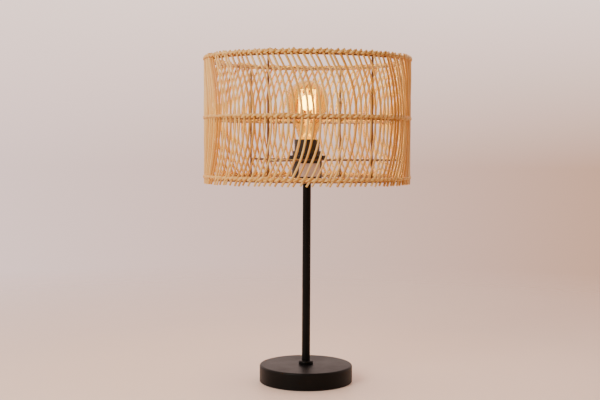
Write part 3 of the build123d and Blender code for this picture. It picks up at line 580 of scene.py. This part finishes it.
def rods_tree(sizes):
    """Rods bowed sideways round a drum, each with its own place, length, thickness and waver."""
    points_per_rod = 40
    bow_range, swell_range = (0.92, 1.08), (0.86, 1.06)
    waver_share, waver_speed, waver_depth = (0.1, 0.55), (9.0, 17.0), 0.00022
    swell_speed, swell_depth = (14.0, 30.0), 0.035
    graph, given, output = new_geometry_tree("Rattan rods", sizes)
    curves, number = long_curves(graph, points_per_rod, given["Count"])
    t = graph.add("GeometryNodeSplineParameter").outputs["Factor"]
    seed = given["Seed"]

    def uneven(low, high, shift):
        """Each rod's own number; every use has its own shift."""
        return random_number(graph, low, high, number, graph.math("ADD", seed, shift))

    # Height, from the lower cut end to the upper one
    cut_low = graph.math("MULTIPLY", uneven(0.0, 1.0, 1), given["Tip scatter"])
    cut_high = graph.math("MULTIPLY", uneven(0.0, 1.0, 2), given["Tip scatter"])
    low = graph.math("ADD", given["Low"], cut_low)
    high = graph.math("SUBTRACT", given["High"], cut_high)
    height = graph.math("ADD", low, graph.math("MULTIPLY", t, graph.math("SUBTRACT", high, low)))

    # Bow, which grows with the square of the height from the middle hoop
    share = graph.math("DIVIDE", graph.math("SUBTRACT", height, given["Middle"]), given["Hoop spacing"])
    bow = graph.math("MULTIPLY", given["Bow angle"], uneven(*bow_range, 3))
    bow = graph.math("MULTIPLY", bow, graph.math("MULTIPLY", share, share))

    # Place on the circle: an even step, a slip to one side and a slow waver
    step = graph.math("DIVIDE", tau, given["Count"])
    scatter = graph.math("DIVIDE", given["Scatter"], given["Radius"])
    shift = graph.math("MULTIPLY", uneven(-1.0, 1.0, 4), scatter)
    waver_size = graph.math("MULTIPLY", uneven(*waver_share, 5), scatter)
    phase = graph.math("MULTIPLY", t, uneven(*waver_speed, 6))
    waver = graph.math("SINE", graph.math("ADD", phase, uneven(0.0, tau, 7)))
    angle = graph.math("ADD", graph.math("MULTIPLY", number, step), given["Start angle"])
    angle = graph.math("SUBTRACT", graph.math("ADD", angle, shift), bow)
    angle = graph.math("ADD", angle, graph.math("MULTIPLY", waver, waver_size))
    radius = graph.math("ADD", given["Radius"], graph.math("MULTIPLY", waver, waver_depth))
    place = polar(graph, radius, angle, height)
    curves = graph.add("GeometryNodeSetPosition", {"Geometry": curves, "Position": place})
    curves = store(graph, curves.outputs[0], "along", height)
    curves = store(graph, curves, "tone", uneven(0.0, 1.0, 8))

    # Thickness, which differs from rod to rod and changes slowly along each one
    swell_wave = graph.math("SINE", graph.math("MULTIPLY", t, uneven(*swell_speed, 9)))
    swell_wave = graph.math("MULTIPLY", swell_wave, swell_depth)
    curves = store(graph, curves, "swell", graph.math("ADD", uneven(*swell_range, 10), swell_wave))
    thickness = given["Rod radius"]
    body = skin_curves(graph, curves, CANE_SIDES, thickness, thickness, recall(graph, "swell"))
    close_tree(graph, given, output, body)
    return graph


def strands_tree(sizes):
    """Two flat strands twined round a ring of rods: each passes outside one rod and inside the next."""
    points_per_rod, strands = 10, 2
    slack_scale, slack_rise = 14.0, 0.0022
    tuck_start, tuck_out, tuck_up = 0.975, 0.0004, 0.0012
    first_tone, tone_step = 0.3, 0.35
    graph, given, output = new_geometry_tree("Twined strands", sizes)
    points = graph.math("MULTIPLY", given["Count"], points_per_rod)
    curves, number = long_curves(graph, points, strands)
    t = graph.add("GeometryNodeSplineParameter").outputs["Factor"]

    # One round and its overlap, with half a twist from each rod to the next
    rounds = graph.math("ADD", 1.0, graph.math("DIVIDE", given["Overlap"], given["Count"]))
    turn = graph.math("MULTIPLY", graph.math("MULTIPLY", t, rounds), tau)
    twist = graph.math("MULTIPLY", graph.math("MULTIPLY", turn, given["Count"]), 0.5)
    twist = graph.math("ADD", twist, graph.math("MULTIPLY", number, pi))

    # Slack lifts a strand here and there, and its end is tucked out and up
    own_noise = graph.math("ADD", number, given["Seed"])
    place = graph.vector(graph.math("COSINE", turn), graph.math("SINE", turn), own_noise)
    slack = graph.math("SUBTRACT", graph.noise(place, slack_scale, 2.0), 0.5)
    lift = graph.math("MULTIPLY", graph.math("SINE", twist), given["Rise"])
    lift = graph.math("ADD", lift, graph.math("MULTIPLY", slack, slack_rise))
    end = graph.spread(t, tuck_start, 1.0, 0.0, 1.0)
    reach = graph.math("MULTIPLY", graph.math("COSINE", twist), given["Reach"])
    reach = graph.math("ADD", reach, graph.math("MULTIPLY", end, tuck_out))
    angle = graph.math("ADD", turn, given["Start angle"])
    height = graph.math("ADD", given["Height"], lift)
    height = graph.math("ADD", height, graph.math("MULTIPLY", end, tuck_up))
    radius = graph.math("ADD", given["Radius"], reach)
    place = polar(graph, radius, angle, height)
    curves = graph.add("GeometryNodeSetPosition", {"Geometry": curves, "Position": place})
    curves = graph.add("GeometryNodeSetCurveNormal", {"Curve": curves.outputs[0]}, mode="Z_UP").outputs[0]
    curves = store(graph, curves, "along", graph.math("MULTIPLY", turn, given["Radius"]))
    tone = graph.math("ADD", first_tone, graph.math("MULTIPLY", number, tone_step))
    curves = store(graph, curves, "tone", tone)
    thick = graph.math("MULTIPLY", given["Thickness"], 0.5)
    wide = graph.math("MULTIPLY", given["Width"], 0.5)
    body = skin_curves(graph, curves, CANE_SIDES, thick, wide, 1.0)
    close_tree(graph, given, output, body)
    return graph


# ---------------------------------------------------------------- operators

class LAMP_OT_stage(bpy.types.Operator):
    """Floor, surroundings, soft studio light and camera"""
    bl_idname = "lamp.stage"
    bl_label = "Stage"

    def execute(self, context):
        settings = context.scene.lamp_stage
        self.make_floor(settings)
        self.make_air(context, settings)
        self.make_lights(settings)
        self.make_camera(context, settings)
        return {"FINISHED"}

    def make_floor(self, settings):
        """A round pale floor that fades into the surroundings towards its rim."""
        sides, mottle_scale, fade_start, fade_end = 96, 7.0, 0.22, 0.95
        material, graph, shader = new_material("pale_floor", Roughness=0.5, Specular_IOR_Level=0.3)
        place = object_place(graph)
        mottle = graph.noise(place, mottle_scale, 4.0)
        colour = tuple(settings.floor_colour)
        graph.feed(shader.inputs["Base Color"], graph.blend(mottle, colour, dimmed(colour, 0.97)))
        distance = graph.add("ShaderNodeVectorMath", {0: place}, operation="LENGTH").outputs["Value"]
        radius = settings.floor_radius
        fade = graph.spread(distance, radius * fade_start, radius * fade_end, 1.0, 0.0)
        graph.feed(shader.inputs["Alpha"], graph.math("SMOOTH_MIN", fade, 1.0, 0.2))
        mesh = bpy.data.meshes.new("floor")
        turns = [tau * k / sides for k in range(sides)]
        rim = [(radius * cos(turn), radius * sin(turn), 0.0) for turn in turns]
        mesh.from_pydata(rim, [], [list(range(sides))])
        new_piece("floor", mesh, material)

    def make_air(self, context, settings):
        """Plain surroundings, brighter to the left and above, that light the lamp least from the front."""
        world = bpy.data.worlds.new("surroundings")
        world.use_nodes = True
        world.node_tree.nodes.clear()
        graph = Graph(world.node_tree)
        way = graph.add("ShaderNodeTexCoord").outputs["Generated"]
        parts = graph.add("ShaderNodeSeparateXYZ", {0: way}).outputs
        side = graph.spread(parts["X"], -0.28, 0.28)
        up = graph.spread(parts["Z"], -0.02, 0.14)
        colours = settings.left_colour, settings.right_colour, settings.high_colour
        left, right, high = ((*colour, 1.0) for colour in colours)
        front_share = graph.spread(parts["Y"], -0.5, 0.35, settings.dim_front, 1.0)
        seen_straight = graph.add("ShaderNodeLightPath").outputs["Is Camera Ray"]
        strength = graph.math("MAXIMUM", front_share, seen_straight)
        background = graph.add("ShaderNodeBackground", {"Strength": strength})
        graph.feed(background.inputs["Color"], graph.blend(up, graph.blend(side, left, right), high))
        output = graph.add("ShaderNodeOutputWorld")
        graph.tree.links.new(background.outputs[0], output.inputs["Surface"])
        context.scene.world = world

    def make_lights(self, settings):
        """A large soft key at the front left and a warm fill at the right."""
        self.area_light("key", settings.key_power, KEY_SIZE, KEY_PLACE, KEY_COLOUR)
        self.area_light("fill", settings.fill_power, FILL_SIZE, FILL_PLACE, FILL_COLOUR)

    def area_light(self, name, power, size, place, colour):
        """A square soft light aimed at the lamp's middle."""
        data = bpy.data.lights.new(name, "AREA")
        data.energy, data.size, data.color = power, size, colour
        light = bpy.data.objects.new(name, data)
        aim = (LAMP_MIDDLE - Vector(place)).to_track_quat("-Z", "Y")
        light.matrix_world = Matrix.Translation(place) @ aim.to_matrix().to_4x4()
        bpy.context.scene.collection.objects.link(light)

    def make_camera(self, context, settings):
        """The camera at the front, level with the lower half of the shade, looking a little down."""
        data = bpy.data.cameras.new("camera")
        data.sensor_width, data.lens = SENSOR_WIDTH, settings.camera_lens
        camera = bpy.data.objects.new("camera", data)
        place = Matrix.Translation((settings.camera_side, -settings.camera_distance, settings.camera_height))
        turn = Matrix.Rotation(pi / 2 - settings.camera_tilt, 4, "X")
        lean = Matrix.Rotation(settings.camera_roll, 4, "Z")
        camera.matrix_world = place @ (turn @ lean)
        context.scene.collection.objects.link(camera)
        context.scene.camera = camera


class LAMP_OT_foot_and_pole(bpy.types.Operator):
    """Finishes of the foot, the pole and what is inside them"""
    bl_idname = "lamp.foot_and_pole"
    bl_label = "Foot and Pole"

    def execute(self, context):
        metal = context.scene.lamp_metal
        coat = powder_coat_material(
            "powder_coat", tuple(metal.coat_colour), metal.coat_roughness, metal.coat_grain)
        paint_nodes(coat, "base_shell", "pole", "pole_collar")
        paint_nodes(felt_material("felt"), "felt_pad")
        zinc = metal_material("zinc_plate", ZINC, roughness=0.34)
        paint_nodes(
            zinc, "base_bottom_plate", "bottom_plate_screws", "earth_screw", "lower_nipple",
            "lower_washer", "lower_nut", "upper_nipple", "upper_nut")
        iron = metal_material("raw_iron", RAW_IRON, roughness=0.6, brushed=(90.0, 90.0, 90.0))
        paint_nodes(iron, "base_weight")
        inlet = moulded_material("inlet_plastic", BLACK_PLASTIC, roughness=0.42)
        paint_nodes(inlet, "inlet_bush", "inlet_nut")
        terminals = moulded_material("terminal_plastic", TERMINAL_PLASTIC, roughness=0.4)
        paint_nodes(terminals, "terminal_block")
        brass = metal_material("brass", BRASS, roughness=0.28)
        paint_nodes(
            brass, "terminal_block_screws", "earth_tag", "holder_terminal_screws", "centre_contact",
            "screw_shell")
        paint_nodes(moulded_material("brown_sleeve", BROWN_SLEEVE, roughness=0.3), "live_wire")
        paint_nodes(moulded_material("blue_sleeve", BLUE_SLEEVE, roughness=0.3), "neutral_wire")
        paint_nodes(moulded_material("green_sleeve", GREEN_SLEEVE, roughness=0.3), "earth_wire")
        return {"FINISHED"}


class LAMP_OT_lampholder(bpy.types.Operator):
    """Finishes of the lampholder, its blank label and the ring nut"""
    bl_idname = "lamp.lampholder"
    bl_label = "Lampholder"

    def execute(self, context):
        black = moulded_material("holder_plastic", HOLDER_PLASTIC, roughness=0.36)
        paint_nodes(black, "holder_cap", "holder_skirt", "ring_nut")
        label = moulded_material("label_film", LABEL_FILM, roughness=0.34, grain_scale=2500.0, contrast=1.2)
        paint_nodes(label, "blank_label")
        white = moulded_material("porcelain", PORCELAIN, roughness=0.3, grain_scale=600.0, contrast=1.05)
        paint_nodes(white, "holder_insert")
        paint_nodes(moulded_material("fibre_washer", RED_FIBRE, roughness=0.6), "friction_washer")
        return {"FINISHED"}


class LAMP_OT_shade_frame(bpy.types.Operator):
    """Paint of the hoops, uprights and spider"""
    bl_idname = "lamp.shade_frame"
    bl_label = "Shade Frame"

    def execute(self, context):
        colour = tuple(context.scene.lamp_metal.wire_colour)
        paint_nodes(wire_paint_material("brown_wire", colour), "shade_uprights")
        hoops = ["hoop_" + ring for ring in RINGS]
        # The hoops are the uprights' wire paint made 1.7 times lighter: painted light, which lifts the shade
        # that falls on them beneath the strands and behind the rods
        paint_nodes(wire_paint_material("brown_hoop_painted_light", dimmed(colour, 1.7)), *hoops)
        paint_nodes(wire_paint_material("spider_paint", dimmed(colour, 0.8)), "spider_ring", "spider_arms")
        return {"FINISHED"}


def rod_circle(cane):
    """Radius of the circle that the rods stand on, just outside the hoops."""
    return node_radius("hoop_middle") + cane.rod_radius + HOOP_CLEARANCE


def bow_angle(cane):
    """The turn between a rod's middle and where it crosses an outer hoop."""
    return 2 * asin(cane.rod_bow / 2 / rod_circle(cane))


class LAMP_OT_rattan_rods(bpy.types.Operator):
    """Bowed rattan rods round the shade"""
    bl_idname = "lamp.rattan_rods"
    bl_label = "Rattan Rods"

    def execute(self, context):
        cane = context.scene.lamp_rattan
        low, high = rods_span()
        end_margin = cane.rod_radius * 0.25
        sizes = {
            "Count": cane.rod_count,
            "Seed": cane.seed,
            "Rod radius": cane.rod_radius,
            "Radius": rod_circle(cane),
            "Low": low + end_margin,
            "High": high - end_margin,
            "Middle": node_middle("hoop_middle"),
            "Hoop spacing": node_middle("hoop_top") - node_middle("hoop_middle"),
            "Bow angle": bow_angle(cane),
            "Scatter": cane.rod_scatter,
            "Tip scatter": cane.tip_scatter,
            "Start angle": -pi / 2,
        }
        material = cane_material(
            "rattan_cane", tuple(cane.light_cane), tuple(cane.dark_cane), gloss=0.22)
        rods = grow("rattan_rods", rods_tree(sizes), sizes, material)
        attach(rods, "shade")
        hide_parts(*ROD_NODES)
        return {"FINISHED"}


class LAMP_OT_bindings(bpy.types.Operator):
    """Twined strands that tie the rods to the hoops"""
    bl_idname = "lamp.bindings"
    bl_label = "Bindings"

    def execute(self, context):
        cane = context.scene.lamp_rattan
        lead_angle, overlapped_rods, rise_share = 0.32, 3.0, 0.42
        material = cane_material(
            "strand_cane", tuple(cane.strand_cane), tuple(cane.dark_cane), gloss=0.18)
        bow = bow_angle(cane)
        reach = cane.rod_radius + cane.strand_thickness * 0.25
        for place, ring in enumerate(RINGS):
            node = "binding_" + ring
            sizes = {
                "Count": cane.rod_count,
                "Seed": cane.seed + place,
                "Overlap": overlapped_rods,
                "Radius": rod_circle(cane),
                "Height": node_middle(node),
                "Reach": reach,
                "Rise": cane.strand_width * rise_share,
                "Thickness": cane.strand_thickness,
                "Width": cane.strand_width,
                "Start angle": -pi / 2 - lead_angle - (0.0 if ring == "middle" else bow),
            }
            sizes["Start angle"] += self.to_rod(sizes["Start angle"], ring, bow, cane.rod_count)
            strands = grow("twined_binding_" + ring, strands_tree(sizes), sizes, material)
            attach(strands, "shade")
            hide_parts(node)
        return {"FINISHED"}

    def to_rod(self, angle, ring, bow, count):
        """The small turn that brings a strand's start in line with a rod."""
        first = -pi / 2 - (0.0 if ring == "middle" else bow)
        step = tau / count
        return round((angle - first) / step) * step - (angle - first)


class LAMP_OT_bulb(bpy.types.Operator):
    """Amber bulb with its threaded cap, stem and light sticks"""
    bl_idname = "lamp.bulb"
    bl_label = "Bulb"

    def execute(self, context):
        settings = context.scene.lamp_bulb
        self.make_globe(settings)
        self.make_stem()
        self.make_cap(settings)
        self.make_light(context, settings)
        solder = metal_material("solder", SOLDER, roughness=0.4, brushed=(200.0, 200.0, 200.0))
        paint_nodes(solder, "bulb_tip")
        paint_nodes(moulded_material("black_glass", BLACK_GLASS, roughness=0.14), "bulb_insulator")
        paint_nodes(moulded_material("driver_potting", POTTING, roughness=0.5), "bulb_driver")
        paint_nodes(metal_material("support_wire", SUPPORT_WIRE, roughness=0.3), "filament_supports")
        sticks = light_stick_material("light_sticks", tuple(settings.light_colour), settings.stick_strength)
        paint_nodes(sticks, "bulb_filaments")
        return {"FINISHED"}

    def make_globe(self, settings):
        """The pear-shaped glass, blown thin, with its neck tucked into the cap."""
        low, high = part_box("bulb_glass")
        neck_inset, seat_height, flare_height, flare = 0.00125, 0.0012, 0.0072, 0.0021
        neck_radius = node_radius("bulb_cap") - neck_inset
        blend_degrees, flare_way, globe_pull = 32, (0.0125, 0.036), 0.040
        neck_steps, globe_steps, sides = 18, 30, 96

        def half(inset):
            """One face of the glass, from the neck up to the crown."""
            radius = settings.glass_radius - inset
            centre = high[2] - settings.glass_radius
            blend = radians(blend_degrees)
            neck = (neck_radius - inset, low[2] + seat_height)
            neck_end = (neck_radius + flare - inset, low[2] + flare_height)
            start = (radius * cos(blend), centre - radius * sin(blend))
            start_way = (globe_pull * sin(blend), globe_pull * cos(blend))
            points = [(neck_radius - inset, low[2]), neck, neck_end]
            points += hermite(neck_end, flare_way, start, start_way, neck_steps)
            points += arc_points(0.0, centre, radius, -blend_degrees, 90, globe_steps)[1:]
            return points[:-1] + [(0.0, centre + radius)]

        outline = half(0.0) + list(reversed(half(settings.glass_wall)))
        glass = glass_material(
            "amber_glass", tuple(settings.glass_colour), roughness=0.015, ripple=0.0002)
        globe = lathe("amber_globe", outline, sides, glass, closed=True)
        globe.visible_shadow = False
        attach(globe, "bulb")
        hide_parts("bulb_glass")

    def make_stem(self):
        """The flared glass stem with its pinch and post."""
        low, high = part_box("bulb_stem")
        bottom, top = low[2], high[2]
        sides, flare_steps, step_steps, ball_steps = 48, 12, 6, 6
        flare_radius, pinch_radius, post_radius, ball_radius = 0.0104, 0.0042, 0.0014, 0.002
        flare_foot, tube_start = (flare_radius, bottom), (0.0037, bottom + 0.013)
        pinch_top, post_foot = (pinch_radius, bottom + 0.030), (post_radius, bottom + 0.034)
        upright = (0.0, 0.003)
        outline = [(0.0, bottom), flare_foot]
        outline += hermite(flare_foot, (-0.004, 0.008), tube_start, (-0.0006, 0.010), flare_steps)
        outline += [(0.0035, bottom + 0.024), (pinch_radius, bottom + 0.027), pinch_top]
        outline += hermite(pinch_top, upright, post_foot, upright, step_steps)
        outline += [(post_radius, top - ball_radius)]
        outline += arc_points(0.0, top - ball_radius, ball_radius, 0, 90, ball_steps)[:-1] + [(0.0, top)]
        material = glass_material("stem_glass", STEM_GLASS, roughness=0.05, ripple=0.0004)
        shader = next(node for node in material.node_tree.nodes if node.type == "BSDF_PRINCIPLED")
        # Painted glow: the stem gets a faint light of its own, standing in for the light that the sticks
        # throw on it
        shader.inputs["Emission Color"].default_value = STEM_PAINTED_GLOW
        shader.inputs["Emission Strength"].default_value = 0.5
        stem = lathe("glass_stem", outline, sides, material)
        stem.visible_shadow = False
        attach(stem, "bulb")
        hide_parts("bulb_stem")

    def make_cap(self, settings):
        """The screw cap, with a real helical thread pressed in thin metal."""
        low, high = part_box("bulb_cap")
        crown = node_radius("bulb_cap")
        depth, wall, sides, rows_per_turn = 0.0008, 0.0003, 72, 12
        run_in, thread_end, run_out = 0.10, 0.84, 0.08
        rows = int((high[2] - low[2]) / settings.screw_pitch * rows_per_turn)
        vertices, faces = [], []

        # Rows of points up the outer face, then up the inner one
        for inset in (0.0, wall):
            for row in range(rows + 1):
                height = low[2] + (high[2] - low[2]) * row / rows
                share = min(1.0, row / rows / run_in, max(0.0, (thread_end - row / rows) / run_out))
                for k in range(sides):
                    turn = (height - low[2]) / settings.screw_pitch - k / sides
                    wave = depth * 0.5 * (1 - cos(tau * turn)) * share
                    radius = crown - depth + wave - inset
                    angle = tau * k / sides
                    vertices.append((radius * cos(angle), radius * sin(angle), height))

        # Both faces, then the rims at the two ends
        layer = (rows + 1) * sides
        for row in range(rows):
            for k in range(sides):
                a, b = row * sides + k, row * sides + (k + 1) % sides
                faces.append((a, b, b + sides, a + sides))
                faces.append((layer + a, layer + a + sides, layer + b + sides, layer + b))
        for row in (0, rows):
            for k in range(sides):
                a, b = row * sides + k, row * sides + (k + 1) % sides
                rim = (a, layer + a, layer + b, b)
                faces.append(rim if row == 0 else tuple(reversed(rim)))
        mesh = bpy.data.meshes.new("screw_cap")
        mesh.from_pydata(vertices, [], faces)
        mesh.shade_smooth()
        mesh.set_sharp_from_angle(angle=radians(50))
        nickel = metal_material("nickel_brass", NICKEL_BRASS, roughness=0.24)
        cap = new_piece("screw_cap", mesh, nickel)
        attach(cap, "bulb")
        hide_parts("bulb_cap")

    def make_light(self, context, settings):
        """The warm light that the sticks throw on the shade."""
        low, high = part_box("bulb_filaments")
        data = bpy.data.lights.new("bulb_glow", "POINT")
        data.energy, data.color, data.shadow_soft_size = settings.glow_power, GLOW_COLOUR, GLOW_RADIUS
        light = bpy.data.objects.new("bulb_glow", data)
        light.location = (0.0, 0.0, (low[2] + high[2]) / 2)
        context.scene.collection.objects.link(light)


class LAMP_PT_panel(bpy.types.Panel):
    """The lamp's steps, in order"""
    bl_idname = "LAMP_PT_panel"
    bl_label = "Table Lamp"
    bl_space_type = "VIEW_3D"
    bl_region_type = "UI"
    bl_category = "Table Lamp"

    def draw(self, context):
        for step in STEPS:
            self.layout.operator(step.bl_idname)


STEPS = (
    LAMP_OT_stage,
    LAMP_OT_foot_and_pole,
    LAMP_OT_lampholder,
    LAMP_OT_shade_frame,
    LAMP_OT_rattan_rods,
    LAMP_OT_bindings,
    LAMP_OT_bulb,
)
SETTINGS = {
    "lamp_rattan": RattanSettings,
    "lamp_metal": MetalSettings,
    "lamp_bulb": BulbSettings,
    "lamp_stage": StageSettings,
}


def register():
    """Makes the settings, the steps and the panel known."""
    for group in (*SETTINGS.values(), *STEPS, LAMP_PT_panel):
        bpy.utils.register_class(group)
    for name, group in SETTINGS.items():
        setattr(bpy.types.Scene, name, PointerProperty(type=group))


def unregister():
    """Takes them away again, last first."""
    for name in SETTINGS:
        delattr(bpy.types.Scene, name)
    for group in (LAMP_PT_panel, *reversed(STEPS), *SETTINGS.values()):
        bpy.utils.unregister_class(group)


def main():
    register()
    bpy.ops.lamp.stage()
    bpy.ops.lamp.foot_and_pole()
    bpy.ops.lamp.lampholder()
    bpy.ops.lamp.shade_frame()
    bpy.ops.lamp.rattan_rods()
    bpy.ops.lamp.bindings()
    bpy.ops.lamp.bulb()


if __name__ == "__main__":
    main()
